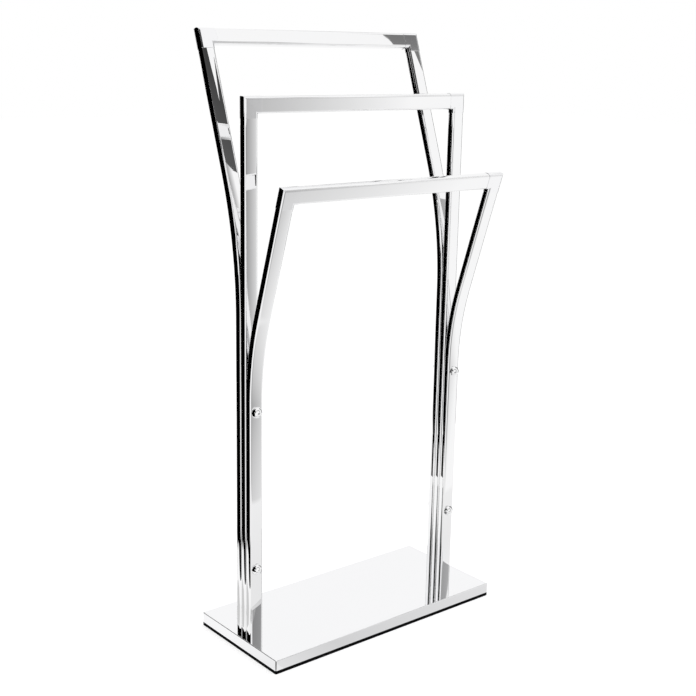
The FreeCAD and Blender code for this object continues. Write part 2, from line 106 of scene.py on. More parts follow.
# %% Camera
PICTURE = 696                                # pixels, square
FOCAL_PIXELS = 1200.6
SENSOR = 36                                  # millimetres
FAR_CLIP = 60
CAMERA_PLACE = (-1.15348, -1.39016, 0.89619)
AZIMUTH, PITCH, ROLL = math.radians(-39.357), math.radians(14.117), math.radians(1.076)
forward = Vector((-math.sin(AZIMUTH) * math.cos(PITCH),
                  math.cos(AZIMUTH) * math.cos(PITCH), -math.sin(PITCH)))
level = forward.cross(Vector((0, 0, 1))).normalized()
upright = level.cross(forward)
right = math.cos(ROLL) * level + math.sin(ROLL) * upright
up = math.cos(ROLL) * upright - math.sin(ROLL) * level

bpy.ops.object.camera_add()
camera = bpy.context.object
camera.data.sensor_width = SENSOR
camera.data.lens = FOCAL_PIXELS * SENSOR / PICTURE
camera.data.clip_end = FAR_CLIP
turn = Matrix((right, up, -forward)).transposed().to_4x4()
camera.matrix_world = Matrix.Translation(CAMERA_PLACE) @ turn
bpy.context.scene.camera = camera
print("lens in mm:", round(camera.data.lens, 2))

# %% [markdown]
# ## Finishing a piece
#
# An operator works on everything that is selected, so each piece starts by deselecting all.
# Every finished piece has its place in its mesh, with its object at the origin, so that the
# patterns of its material stay on it. Smooth shading by angle rounds the arcs and keeps the
# corners. On the pieces with sharp borders a weighted normal modifier then lets the large flat
# faces decide the normals there. Without it a flat chrome face reflects as if it were pillowed.

# %% Finishing helpers
TOUCH = 1e-6                                 # points nearer than this are the same point
SMOOTH_UNDER = 35                            # degrees between faces


def only(piece):
    """Makes a piece the one selected and active object."""
    bpy.ops.object.select_all(action="DESELECT")
    piece.select_set(True)
    bpy.context.view_layer.objects.active = piece


def set_place(piece):
    """Puts a piece's place, turn and scale into its mesh."""
    only(piece)
    bpy.ops.object.transform_apply(location=True, rotation=True, scale=True)


def finish_surface(piece, flatten=True):
    """Outward normals, smooth arcs and, where asked for, flat faces that stay flat."""
    only(piece)
    bpy.ops.object.mode_set(mode="EDIT")
    bpy.ops.mesh.select_all(action="SELECT")
    bpy.ops.mesh.remove_doubles(threshold=TOUCH)
    bpy.ops.mesh.normals_make_consistent(inside=False)
    bpy.ops.object.mode_set(mode="OBJECT")
    bpy.ops.object.shade_smooth_by_angle(angle=math.radians(SMOOTH_UNDER))
    if flatten:
        flat = piece.modifiers.new("flat_faces", "WEIGHTED_NORMAL")
        flat.keep_sharp = True
        flat.weight = 100
        bpy.ops.object.modifier_apply(modifier=flat.name)


print("arcs are smooth where faces meet at under", SMOOTH_UNDER, "degrees")

# %% [markdown]
# A finished piece is handed in with its material. It rides on the stand's one body, takes the
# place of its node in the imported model, and is measured against that node's box.

# %% Handing in
MILLIMETRES = 1000


def hand_in(piece, node, material):
    """A finished piece: on its body, standing for its node and material."""
    piece.data.materials.clear()
    piece.data.materials.append(material)
    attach(piece, "root")
    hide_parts(node)
    low, high = (Vector(map(f, *[v.co for v in piece.data.vertices])) for f in (min, max))
    node_low, node_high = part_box(node)
    off = MILLIMETRES * max((low - node_low).length, (high - node_high).length)
    print(f"{piece.name:24s} {len(piece.data.polygons):6d} faces, {off:.2f} mm from its node's box")


print("pieces ride on: root")

# %% [markdown]
# ## Nodes for materials
#
# A material is a tree of nodes. Adding a node, setting its numbers and linking it is the same
# work each time, so short helpers do it. All patterns start from the point's place on the piece
# in its own space, so that they stay on the metal from whatever side it is seen.

# %% Node helpers
def new_material(name):
    material = bpy.data.materials.new(name)
    material.use_nodes = True
    shader = material.node_tree.nodes["Principled BSDF"]
    return material, material.node_tree, shader


def add_node(tree, kind, **inputs):
    node = tree.nodes.new(kind)
    for key, value in inputs.items():
        node.inputs[key.replace("_", " ")].default_value = value
    return node


def object_place(tree, stretch=(1, 1, 1)):
    """The point's place on the piece, stretched along an axis."""
    place = tree.nodes.new("ShaderNodeTexCoord")
    mapping = add_node(tree, "ShaderNodeMapping", Scale=stretch)
    tree.links.new(place.outputs["Object"], mapping.inputs["Vector"])
    return mapping.outputs["Vector"]


def noise(tree, place, scale, detail=2.0, roughness=0.5):
    texture = add_node(tree, "ShaderNodeTexNoise", Scale=scale, Detail=detail, Roughness=roughness)
    tree.links.new(place, texture.inputs["Vector"])
    return texture.outputs["Fac"]


print("helpers: new_material, add_node, object_place, noise")

# %% Nodes that change a value
def remap(tree, value, low, high, to_low, to_high):
    node = tree.nodes.new("ShaderNodeMapRange")
    numbers = {"From Min": low, "From Max": high, "To Min": to_low, "To Max": to_high}
    for key, number in numbers.items():
        node.inputs[key].default_value = number
    tree.links.new(value, node.inputs["Value"])
    return node.outputs["Result"]


def add_math(tree, operation, first, second):
    node = tree.nodes.new("ShaderNodeMath")
    node.operation = operation
    for socket, value in zip(node.inputs, (first, second)):
        if isinstance(value, (int, float)):
            socket.default_value = value
        else:
            tree.links.new(value, socket)
    return node.outputs["Value"]


def mix_colours(tree, share, first, second):
    node = tree.nodes.new("ShaderNodeMix")
    node.data_type = "RGBA"
    node.inputs["A"].default_value = (*first, 1)
    node.inputs["B"].default_value = (*second, 1)
    tree.links.new(share, node.inputs["Factor"])
    return node.outputs["Result"]


def bump(tree, height, distance, before=None):
    node = add_node(tree, "ShaderNodeBump", Strength=1.0, Distance=distance)
    tree.links.new(height, node.inputs["Height"])
    if before:
        tree.links.new(before, node.inputs["Normal"])
    return node.outputs["Normal"]


print("helpers: remap, add_math, mix_colours, bump")

# %% [markdown]
# ## Chrome
#
# Chrome plate is a metal with almost no roughness, so its colour is what it reflects. What makes
# it real is small. Polishing leaves faint cloudy changes in roughness and a fine grain along the
# tube. The surface waves by hundredths of a millimetre, so that long reflections wobble, and dust
# leaves dull specks. The cast elbows wave more closely than the drawn tube, and the folded sheet
# waves in long soft swells. A plain mirror would be quicker, and would look like a drawing.

# %% Chrome finishes
CLOUDS, CLOUD_ROUGHER = 9.0, 1.9             # about 11 cm wide, nearly twice as rough
SPECKS, SPECK_ROUGHNESS = 900.0, 0.02
STAINS, STAIN_TONE = 5.0, 0.985              # a hardly darker tone in broad patches
GRAIN, GRAIN_DEPTH = 420.0, 0.0000012


def chrome(name, tint, rough, wave_scale, wave_depth, grain_stretch=(1, 1, 1)):
    material, tree, shader = new_material(name)
    place = object_place(tree)
    cloud = remap(tree, noise(tree, place, CLOUDS, 3.0), 0.35, 0.7, rough, rough * CLOUD_ROUGHER)
    speck = remap(tree, noise(tree, place, SPECKS, 1.0), 0.78, 0.84, 0.0, SPECK_ROUGHNESS)
    tree.links.new(add_math(tree, "ADD", cloud, speck), shader.inputs["Roughness"])
    shader.inputs["Metallic"].default_value = 1.0
    stain = noise(tree, place, STAINS)
    tone = mix_colours(tree, stain, [t * STAIN_TONE for t in tint], tint)
    tree.links.new(tone, shader.inputs["Base Color"])
    waves = bump(tree, noise(tree, place, wave_scale, 1.0), wave_depth)
    grain = noise(tree, object_place(tree, grain_stretch), GRAIN, 2.0)
    tree.links.new(bump(tree, grain, GRAIN_DEPTH, waves), shader.inputs["Normal"])
    print(name, "roughness", rough, "waves", round(wave_depth * MILLIMETRES, 3), "mm")
    return material


UPRIGHT_GRAIN = (1, 1, 0.02)
LEVEL_GRAIN = (0.02, 1, 1)
chrome_leg = chrome("chrome_leg", (0.93, 0.93, 0.935), 0.012, 22.0, 0.00006, UPRIGHT_GRAIN)
chrome_bar = chrome("chrome_bar", (0.93, 0.93, 0.935), 0.012, 22.0, 0.00006, LEVEL_GRAIN)
chrome_elbow = chrome("chrome_elbow", (0.92, 0.92, 0.93), 0.028, 55.0, 0.00005)
chrome_sheet = chrome("chrome_sheet", (0.93, 0.93, 0.94), 0.02, 9.0, 0.00012)
chrome_dome = chrome("chrome_dome", (0.93, 0.93, 0.935), 0.02, 60.0, 0.00002)

# %% [markdown]
# ## The tube's section
#
# All frames are made from one flat tube with rounded corners. Its section is drawn once: a plane
# of the tube's size, its four corners rounded by a vertex bevel, and an inset of the wall whose
# inside is deleted, which leaves a ring. Whatever is extruded from that ring is a hollow tube.
# A curve with a bevel profile could make the tube too, but not its open ends with their wall.

# %% Section
TUBE_RADIUS = 0.004
TUBE_WALL = 0.0012
ARC_STEPS = 8                                # facets in a section's corner


def start_editing(name):
    piece = bpy.context.object
    piece.name = name
    bpy.ops.object.mode_set(mode="EDIT")
    return piece


def add_section(name, face, depth, radius):
    bpy.ops.object.select_all(action="DESELECT")
    bpy.ops.mesh.primitive_plane_add(size=1)
    piece = start_editing(name)
    bpy.ops.transform.resize(value=(face, depth, 1))
    bpy.ops.mesh.bevel(offset=radius, offset_type="OFFSET", segments=ARC_STEPS, affect="VERTICES")
    return piece


def add_tube_ring(name):
    piece = add_section(name, TUBE_FACE, TUBE_DEPTH, TUBE_RADIUS)
    bpy.ops.mesh.inset(thickness=TUBE_WALL)
    bpy.ops.mesh.delete(type="FACE")
    bpy.ops.mesh.select_all(action="SELECT")
    return piece


def extrude_by(x, y, z):
    bpy.ops.mesh.extrude_region_move(TRANSFORM_OT_translate={"value": (x, y, z)})


print("section:", ARC_STEPS, "facets in each corner of radius", TUBE_RADIUS * MILLIMETRES, "mm")

# %% [markdown]
# ## Legs
#
# Three legs stand face to face on each side of the plate, and two of them bend away. A bent leg
# is an upright run, an arc and a leaning run. Spin makes the arc exactly: it turns the ring about
# the bend's centre in many small steps, and the next extrusion goes on from where it ends. In
# a script without a window spin turns the other way, so its angle has the opposite sign. A leg
# has no sharp border but at its ends, so its normals are left as the angle gives them.

# %% Legs
BEND_STEPS = 28


def add_leg(name, f, x):
    piece = add_tube_ring(name)
    bpy.ops.transform.translate(value=(x, f["row"], PLATE_TOP))
    if f["lean_to"]:
        extrude_by(0, 0, f["bend"] - PLATE_TOP)
        centre = (x, f["row"] + f["lean_to"] * f["radius"], f["bend"])
        bpy.ops.mesh.spin(steps=BEND_STEPS, angle=f["lean_to"] * f["lean"], center=centre,
                          axis=(1, 0, 0))
        length = f["run"] - TUBE_FACE / 2 - ELBOW_ARM
        extrude_by(0, f["lean_to"] * length * math.sin(f["lean"]), length * math.cos(f["lean"]))
    else:
        extrude_by(0, 0, f["z"] - ELBOW_ARM - PLATE_TOP)
    bpy.ops.object.mode_set(mode="OBJECT")
    finish_surface(piece, flatten=False)
    return piece


for name, f in FRAMES.items():
    for side, sign in SIDES.items():
        leg = add_leg(f"{name}_leg_{side}_tube", f, sign * LEG_X)
        hand_in(leg, f"{name}_leg_{side}", chrome_leg)

# %% [markdown]
# ## Top bars
#
# A bar is cut from the same tube and lies between two elbows. Its ring is stood on its side and
# extruded along X, so that the wide side of the section faces the front. Then the whole bar
# leans with its frame. To model it upright and turn it last is easier than to extrude aslant.

# %% Top bars
def lean_with(piece, f):
    """Turns a piece that was made at the origin to its frame's lean, and moves it there."""
    piece.rotation_euler = (-f["lean_to"] * f["lean"], 0, 0)
    piece.location = (piece.location.x, f["y"], f["z"])
    set_place(piece)


for name, f in FRAMES.items():
    bar = add_tube_ring(f"{name}_bar_tube")
    bpy.ops.object.mode_set(mode="OBJECT")
    bar.rotation_euler = (0, math.radians(90), 0)
    set_place(bar)
    bpy.ops.object.mode_set(mode="EDIT")
    bpy.ops.mesh.select_all(action="SELECT")
    bpy.ops.transform.translate(value=(-BAR_HALF, 0, 0))
    extrude_by(2 * BAR_HALF, 0, 0)
    bpy.ops.object.mode_set(mode="OBJECT")
    lean_with(bar, f)
    finish_surface(bar)
    hand_in(bar, f"{name}_top_bar", chrome_bar)

# %% [markdown]
# ## Elbows
#
# The corners are castings, half a millimetre proud of the tubes, with a sharp mitre outside and
# a spigot inside either tube. One arm is modelled with its spigot, cut off by a plane at 45
# degrees, and mirrored across that plane, so both arms meet in one crease. Two boxes joined by
# a boolean would do the same with a less even mesh.

# %% One arm of an elbow
ELBOW_STEP = 0.0005
SPIGOT = 0.018
SPIGOT_GAP = 0.0001
SPIGOT_LEAD = 0.0012
ELBOW_RADIUS = TUBE_RADIUS + ELBOW_STEP
HALF_FACE = TUBE_FACE / 2 + ELBOW_STEP
HALF_DEPTH = TUBE_DEPTH / 2 + ELBOW_STEP


def select_mode(kind):
    bpy.ops.mesh.select_mode(type=kind)


def pick(piece, kind, test):
    """Selects the faces or edges of the mesh in edit mode whose place passes a test."""
    bpy.ops.mesh.select_all(action="DESELECT")
    bpy.ops.object.mode_set(mode="OBJECT")
    mesh = piece.data
    found = 0
    for item in getattr(mesh, kind):
        places = [mesh.vertices[i].co for i in item.vertices]
        if test(item, places):
            item.select = True
            found += 1
    bpy.ops.object.mode_set(mode="EDIT")
    return found


elbow = add_section("elbow_pattern", 2 * HALF_FACE, 2 * HALF_DEPTH, ELBOW_RADIUS)
bpy.ops.transform.translate(value=(0, 0, -ELBOW_ARM))
extrude_by(0, 0, ELBOW_ARM + TUBE_FACE)
select_mode("FACE")
pick(elbow, "polygons", lambda face, places: all(p.z < TOUCH - ELBOW_ARM for p in places))
bpy.ops.mesh.inset(thickness=ELBOW_STEP + TUBE_WALL + SPIGOT_GAP)
extrude_by(0, 0, -SPIGOT)
bpy.ops.mesh.bevel(offset=SPIGOT_LEAD, segments=1, affect="EDGES")
bpy.ops.mesh.select_all(action="SELECT")
bpy.ops.mesh.bisect(plane_co=(0, 0, 0), plane_no=(1, 0, 1), clear_outer=True, use_fill=False)
bpy.ops.object.mode_set(mode="OBJECT")
print("one arm:", len(elbow.data.polygons), "faces")

# %% The other arm
bpy.ops.object.empty_add(rotation=(0, math.radians(-45), 0))
mitre = bpy.context.object
only(elbow)
other_arm = elbow.modifiers.new("other_arm", "MIRROR")
other_arm.mirror_object = mitre
other_arm.merge_threshold = 1e-5
bpy.ops.object.modifier_apply(modifier=other_arm.name)
bpy.data.objects.remove(mitre)
print("both arms:", len(elbow.data.polygons), "faces")

# %% [markdown]
# The crease and the rims get a hair-thin bevel. A real casting has no knife edge, and such an
# edge draws the thin bright line of a seam. The crease is all that lies in the mitre's plane,
# apart from its short ends. The rims are the outline of either arm's mouth.

# %% Crease and rims
HAIR = 0.00022
NEARLY = 0.97                                # of the way out to the outline


def on_crease(edge, places):
    in_mitre = all(abs(p.x + p.z) < TOUCH for p in places)
    return in_mitre and not all(abs(abs(p.y) - HALF_DEPTH) < TOUCH for p in places)


def on_rim(edge, places):
    on_low_mouth = all(abs(p.z + ELBOW_ARM) < TOUCH for p in places)
    on_far_mouth = all(abs(p.x - ELBOW_ARM) < TOUCH for p in places)
    if not (on_low_mouth or on_far_mouth):
        return False
    spots = [(abs(p.x if on_low_mouth else p.z), abs(p.y)) for p in places]
    if any(across / HALF_FACE > NEARLY or deep / HALF_DEPTH > NEARLY for across, deep in spots):
        return True
    return all(math.hypot(max(across - HALF_FACE + ELBOW_RADIUS, 0),
                          max(deep - HALF_DEPTH + ELBOW_RADIUS, 0)) > ELBOW_RADIUS * NEARLY
               for across, deep in spots)


only(elbow)
bpy.ops.object.mode_set(mode="EDIT")
select_mode("EDGE")
print("crease edges:", pick(elbow, "edges", on_crease))
bpy.ops.mesh.bevel(offset=HAIR, segments=2, affect="EDGES")
print("rim edges:", pick(elbow, "edges", on_rim))
bpy.ops.mesh.bevel(offset=HAIR, segments=2, affect="EDGES")
select_mode("VERT")
bpy.ops.object.mode_set(mode="OBJECT")
print("elbow faces:", len(elbow.data.polygons))

# %% [markdown]
# The pattern is copied to the six corners, which is easier than to model each in its place.
# A right-hand elbow is the left one mirrored, which turns its faces inside out, so the normals
# are made afresh for each copy once it is in place.

# %% Six elbows
def copy_of(piece, name):
    twin = piece.copy()
    twin.data = piece.data.copy()
    twin.name = name
    bpy.context.collection.objects.link(twin)
    return twin


for name, f in FRAMES.items():
    for side, sign in SIDES.items():
        corner = copy_of(elbow, f"{name}_elbow_{side}_cast")
        corner.scale = (-sign, 1, 1)
        corner.location = (sign * LEG_X, 0, 0)
        lean_with(corner, f)
        finish_surface(corner)
        hand_in(corner, f"{name}_elbow_{side}", chrome_elbow)
bpy.data.objects.remove(elbow)

# %% [markdown]
# ## Base cover
#
# The plate is a tray of chromed sheet, folded over its filling. A box is scaled to its size, its
# underside is opened, the upright corners and the folded top edge are bevelled to their own
# radii, and a solidify modifier gives the sheet its thickness inwards. The corners are bevelled
# before the fold, because the other way round the two radii would meet in a crumpled patch.

# %% Base cover
COVER_CORNER = 0.0024
COVER_FOLD = 0.0011
COVER_SHEET = 0.0012
plate = PLATE_HIGH - PLATE_LOW
bpy.ops.object.select_all(action="DESELECT")
bpy.ops.mesh.primitive_cube_add(size=1, location=(PLATE_HIGH + PLATE_LOW) / 2)
cover = start_editing("base_cover_sheet")
bpy.ops.transform.resize(value=plate)
select_mode("FACE")
pick(cover, "polygons", lambda face, places: face.normal.z < -0.9)
bpy.ops.mesh.delete(type="FACE")
select_mode("EDGE")
pick(cover, "edges", lambda edge, places: abs(places[0].z - places[1].z) > plate.z / 2)
bpy.ops.mesh.bevel(offset=COVER_CORNER, segments=6, affect="EDGES")
pick(cover, "edges", lambda edge, places: all(abs(p.z - plate.z / 2) < TOUCH for p in places))
bpy.ops.mesh.bevel(offset=COVER_FOLD, segments=4, affect="EDGES")
bpy.ops.object.mode_set(mode="OBJECT")
set_place(cover)
sheet = cover.modifiers.new("sheet", "SOLIDIFY")
sheet.thickness = COVER_SHEET
sheet.offset = -1
bpy.ops.object.modifier_apply(modifier=sheet.name)
finish_surface(cover)
hand_in(cover, "base_cover", chrome_sheet)

# %% [markdown]
# ## Dome heads
#
# The bolts and nuts are turned parts, so they are made as on a lathe. A circle is cut down to the
# quarter arc of the crown, and its lower end is extruded step by step into the rim, the seat and
# the shank. The profile is then spun round its axis. A squashed sphere would have a pinched rim.

# %% Turned profile
DOME_WIDTH, DOME_HEIGHT, DOME_RIM = 0.0172, 0.0082, 0.0009
CIRCLE_POINTS = 144
TURNS = 72
CROWN = DOME_HEIGHT - DOME_RIM
CROWN_RADIUS = ((DOME_WIDTH / 2) ** 2 + CROWN ** 2) / (2 * CROWN)
print("crown radius in mm:", round(CROWN_RADIUS * MILLIMETRES, 2))


def add_turned(name, steps):
    """A domed head, apex at the origin and axis along Y, then straight steps of its profile."""
    bpy.ops.object.select_all(action="DESELECT")
    bpy.ops.mesh.primitive_circle_add(vertices=CIRCLE_POINTS, radius=CROWN_RADIUS,
                                      location=(0, CROWN_RADIUS, 0))
    set_place(bpy.context.object)
    piece = start_editing(name)
    select_mode("VERT")
    for place, normal in (((0, CROWN, 0), (0, 1, 0)), ((0, 0, 0), (-1, 0, 0))):
        bpy.ops.mesh.select_all(action="SELECT")
        bpy.ops.mesh.bisect(plane_co=place, plane_no=normal, clear_outer=True)
    bpy.ops.mesh.select_all(action="DESELECT")
    bpy.ops.object.mode_set(mode="OBJECT")
    end = max(piece.data.vertices, key=lambda v: v.co.y)
    end.select = True
    x, y = end.co.x, end.co.y
    bpy.ops.object.mode_set(mode="EDIT")
    for to_x, to_y in steps:
        extrude_by(to_x - x, to_y - y, 0)
        x, y = to_x, to_y
    bpy.ops.mesh.select_all(action="SELECT")
    bpy.ops.mesh.spin(steps=TURNS, angle=math.tau, center=(0, 0, 0), axis=(0, 1, 0))
    bpy.ops.object.mode_set(mode="OBJECT")
    finish_surface(piece)
    print(name, len(piece.data.polygons), "faces")
    return piece


# %% Bolt and nut
SHANK = 0.003
BOLT_REACH = 0.005                           # past the back leg, into the nut
BOLT_LEAD = 0.0008
NUT_FLOOR = 0.0022
NUT_GAP = 0.00005
RIM_EDGE = 0.0002
rim = [(DOME_WIDTH / 2, DOME_HEIGHT - RIM_EDGE), (DOME_WIDTH / 2 - RIM_EDGE, DOME_HEIGHT)]
bolt_end = DOME_HEIGHT + 3 * TUBE_DEPTH + BOLT_REACH
bolt = add_turned("bolt_pattern", rim + [(SHANK, DOME_HEIGHT), (SHANK, bolt_end - BOLT_LEAD),
                                         (SHANK - BOLT_LEAD, bolt_end), (0, bolt_end)])
bore = SHANK + NUT_GAP
nut = add_turned("nut_pattern", rim + [(bore, DOME_HEIGHT), (bore, NUT_FLOOR), (0, NUT_FLOOR)])

# %% [markdown]
# A bolt's head seats on the front leg, and its nut behind the back leg, turned about. The left
# and the right one of a level are joined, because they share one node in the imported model.

# %% Bolts and nuts in place
for level in ("lower", "upper"):
    for kind, pattern, turn in (("tie_bolts", bolt, 0), ("dome_nuts", nut, math.pi)):
        low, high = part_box(f"{kind}_{level}")
        pair = []
        for side, sign in SIDES.items():
            one = copy_of(pattern, f"{kind}_{level}_{side}")
            one.rotation_euler = (0, 0, turn)
            one.location = (sign * LEG_X, high.y if turn else low.y, (low.z + high.z) / 2)
            set_place(one)
            pair.append(one)
        bpy.ops.object.select_all(action="DESELECT")
        for one in pair:
            one.select_set(True)
        bpy.context.view_layer.objects.active = pair[0]
        bpy.ops.object.join()
        pair[0].name = f"{kind}_{level}_turned"
        hand_in(pair[0], f"{kind}_{level}", chrome_dome)
for pattern in (bolt, nut):
    bpy.data.objects.remove(pattern)

# %% [markdown]
# ## Hidden and lower parts
#
# Under the cover lie a board and a steel plate, and below them a black mat with the screws and
# washers in its pockets. Threaded plugs sit in the feet of the legs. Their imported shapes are
# already the real ones, so they only get their finish: rubber with a fine grain, raw board with
# fibres, rolled steel with scale, and zinc plate with a brushed turn. One recipe serves all four,
# with its own pattern and tones for each.

# %% Plain finishes
BROAD = 6.0                                  # scale of the patches of tone


def surface(name, dark, light, metallic, rough, scale, depth, stretch=(1, 1, 1), shine=0.5):
    material, tree, shader = new_material(name)
    fine = noise(tree, object_place(tree, stretch), scale, 4.0, 0.6)
    broad = noise(tree, object_place(tree), BROAD, 2.0)
    half_fine, half_broad = (add_math(tree, "MULTIPLY", pattern, 0.5) for pattern in (fine, broad))
    blend = remap(tree, add_math(tree, "ADD", half_fine, half_broad), 0.35, 0.65, 0.0, 1.0)
    tree.links.new(mix_colours(tree, blend, dark, light), shader.inputs["Base Color"])
    roughness = remap(tree, broad, 0.3, 0.7, rough * 0.85, rough * 1.15)
    tree.links.new(roughness, shader.inputs["Roughness"])
    tree.links.new(bump(tree, fine, depth), shader.inputs["Normal"])
    shader.inputs["Metallic"].default_value = metallic
    shader.inputs["Specular IOR Level"].default_value = shine
    return material


rubber = surface("underlay_rubber", (0.0015, 0.0015, 0.0018), (0.004, 0.004, 0.0045),
                 0.0, 0.7, 700.0, 0.00012, shine=0.02)
board = surface("raw_board", (0.25, 0.16, 0.085), (0.42, 0.29, 0.17),
                0.0, 0.8, 260.0, 0.0002, stretch=(0.25, 1, 3))
mill = surface("rolled_steel", (0.16, 0.16, 0.165), (0.27, 0.265, 0.26),
               0.9, 0.48, 120.0, 0.00006, stretch=(0.15, 1, 1))
zinc = surface("zinc_plate", (0.62, 0.64, 0.66), (0.76, 0.77, 0.76),
               1.0, 0.26, 900.0, 0.00001, stretch=(1, 1, 0.2))
FINISH = {"black_underlay": rubber, "board": board, "plain_steel": mill, "plated_steel": zinc}
for node_name, node in nodes.items():
    slot_name = node.data.materials[0].name.split(".")[0]
    if slot_name in FINISH:
        node.data.materials[0] = FINISH[slot_name]
        print(node_name, "->", FINISH[slot_name].name)

# %% [markdown]
# ## Floor
#
# The floor is plain and pale. To the camera it also gives a little light of its own, so that it
# reads as white without more light on the stand, and it still keeps the shadow. To the chrome it
# shows other tones, a painted reflection that the lamps don't light, and these are painted here,
# because the legs mirror much of it. Straight lines over the floor part the tones. Thin cards
# could do the same, but painted tones can fade into each other and go on as far as the floor does.

# %% Values over the floor
def new_stage_paint(name):
    paint = bpy.data.materials.new(name)
    paint.use_nodes = True
    paint.node_tree.nodes.clear()
    return paint, paint.node_tree, paint.node_tree.nodes.new("ShaderNodeOutputMaterial")


def axis_value(tree, axis):
    """One coordinate of the point, in the piece's own space."""
    place = tree.nodes.new("ShaderNodeTexCoord")
    parts = tree.nodes.new("ShaderNodeSeparateXYZ")
    tree.links.new(place.outputs["Object"], parts.inputs[0])
    return parts.outputs[axis]


def along_floor(tree, x_share, y_share):
    """A value that grows over the floor in one direction, like the marks of a ruler."""
    x = add_math(tree, "MULTIPLY", axis_value(tree, "X"), x_share)
    y = add_math(tree, "MULTIPLY", axis_value(tree, "Y"), y_share)
    return add_math(tree, "ADD", x, y)


def past_line(tree, x_share, y_share, mark, soft=0.01):
    """One past a straight line over the floor, nought before it, and a narrow ramp between."""
    ruler = along_floor(tree, x_share, y_share)
    return remap(tree, ruler, mark - soft, mark + soft, 0.0, 1.0)


FLOOR_SIZE = 24
bpy.ops.mesh.primitive_plane_add(size=FLOOR_SIZE)
floor = bpy.context.object
floor.name = "studio_floor"
floor_paint, tree, out = new_stage_paint("floor_paint")
print("floor:", FLOOR_SIZE, "m wide")

# %% [markdown]
# In the painted reflection a pale band lies in front of the stand and ends in a slanted edge, and
# past it the tone turns from grey on the left to white on the right. The wide faces of the legs
# mirror this part. Behind the stand and to its left all is white, apart from two black parts
# farther to the left. The one behind gives the right-hand legs their dark bands. The one in front
# of it darkens the sides of the legs halfway up, and those of the front frame where it leans.

# %% Painted reflection: tones that the chrome sees
PALE_BAND_EDGE = -0.594                          # along Y, in front of the middle of the stand
PALE_BAND_SLANT = 0.50
PALE_BAND_TONES = (0.92, 0.86)                   # at its slanted edge, and near the stand
GREY_TONES = (0.30, 1.0)
# Painted reflection: a pale band and a grey fade that only the chrome sees, unlit by the lamps.
pale_band_reflection = remap(tree, along_floor(tree, -PALE_BAND_SLANT, 1.0), PALE_BAND_EDGE, -0.2, *PALE_BAND_TONES)
grey_fade_reflection = remap(tree, along_floor(tree, 0.45, 0.655), -0.66, -0.04, *GREY_TONES)
tone = tree.nodes.new("ShaderNodeMix")
tree.links.new(past_line(tree, -PALE_BAND_SLANT, 1.0, PALE_BAND_EDGE, 0.015), tone.inputs["Factor"])
tree.links.new(grey_fade_reflection, tone.inputs["A"])
tree.links.new(pale_band_reflection, tone.inputs["B"])

behind = past_line(tree, 0.0, 1.0, -0.05, 0.10)
far_left = past_line(tree, -1.0, 0.0, 0.30, 0.04)
whitened = tree.nodes.new("ShaderNodeMix")
tree.links.new(add_math(tree, "MAXIMUM", behind, far_left), whitened.inputs["Factor"])
tree.links.new(tone.outputs["Result"], whitened.inputs["A"])
whitened.inputs["B"].default_value = 1.0

# Painted reflection: two black parts of the floor that only the chrome sees.
black_behind = add_math(tree, "MULTIPLY", past_line(tree, -1.0, 1.0, 0.77),
                        past_line(tree, -0.966, -0.259, 0.203))
black_in_front = add_math(tree, "MULTIPLY", past_line(tree, -0.5, 0.866, 0.105),
                          past_line(tree, -1.0, 0.0, 0.53))
not_black = add_math(tree, "SUBTRACT", 1.0, add_math(tree, "MAXIMUM", black_behind, black_in_front))
floor_reflection_tone = add_math(tree, "MULTIPLY", whitened.outputs["Result"], not_black)
print("nodes in the floor's tones:", len(tree.nodes))

# %% [markdown]
# Light Path tells whether a ray comes from a mirror. Such a ray gets the painted tones, and every
# other ray gets plain diffuse paint with its little glow.

# %% Floor paint
FLOOR_GLOW = 0.42
paint = add_node(tree, "ShaderNodeBsdfDiffuse", Color=(0.8, 0.8, 0.8, 1))
glow = add_node(tree, "ShaderNodeEmission", Color=(1, 1, 1, 1), Strength=FLOOR_GLOW)
plain = tree.nodes.new("ShaderNodeAddShader")
tree.links.new(paint.outputs[0], plain.inputs[0])
tree.links.new(glow.outputs[0], plain.inputs[1])
mirrored = add_node(tree, "ShaderNodeEmission", Strength=1.0)
tree.links.new(floor_reflection_tone, mirrored.inputs["Color"])
rays = tree.nodes.new("ShaderNodeLightPath")
seen = tree.nodes.new("ShaderNodeMixShader")
tree.links.new(rays.outputs["Is Glossy Ray"], seen.inputs[0])
tree.links.new(plain.outputs[0], seen.inputs[1])
tree.links.new(mirrored.outputs[0], seen.inputs[2])
tree.links.new(seen.outputs[0], out.inputs["Surface"])
floor.data.materials.append(floor_paint)
print("floor glow:", FLOOR_GLOW)

# %% [markdown]
# ## White air
#
# The world is white for the camera and for reflections, and soft and dimmer as a light. One
# strength for both would either grey the background or flood the stand.

# %% World
AIR_LIGHT = 0.75
world = bpy.data.worlds.new("white_air")
bpy.context.scene.world = world
world.use_nodes = True
tree = world.node_tree
tree.nodes.clear()
out = tree.nodes.new("ShaderNodeOutputWorld")
lit = add_node(tree, "ShaderNodeBackground", Color=(1, 1, 1, 1), Strength=AIR_LIGHT)
white = add_node(tree, "ShaderNodeBackground", Color=(1, 1, 1, 1), Strength=1.0)
rays = tree.nodes.new("ShaderNodeLightPath")
shown = add_math(tree, "MAXIMUM", rays.outputs["Is Camera Ray"], rays.outputs["Is Glossy Ray"])
shown = add_math(tree, "MAXIMUM", shown, rays.outputs["Is Transmission Ray"])
which = tree.nodes.new("ShaderNodeMixShader")
tree.links.new(shown, which.inputs[0])
tree.links.new(lit.outputs[0], which.inputs[1])
tree.links.new(white.outputs[0], which.inputs[2])
tree.links.new(which.outputs[0], out.inputs["Surface"])
print("air as a light:", AIR_LIGHT)

# %% [markdown]
# ## Cards
#
# A mirror in a white room is invisible. Photographers stand dark cards outside the picture, and
# their reflections draw the edges of the metal. Only glossy rays see these cards, so they cast
# no shadow and take no light. Each has a tone at one end and another at the other, along one
# axis. To place a card, follow the eye's line to a face, turn it as the mirror does, and go
# along it to where the card shall stand. To learn what a card does, leave it out and compare.

# %% Card helper
CARD_THICKNESS = 0.0005


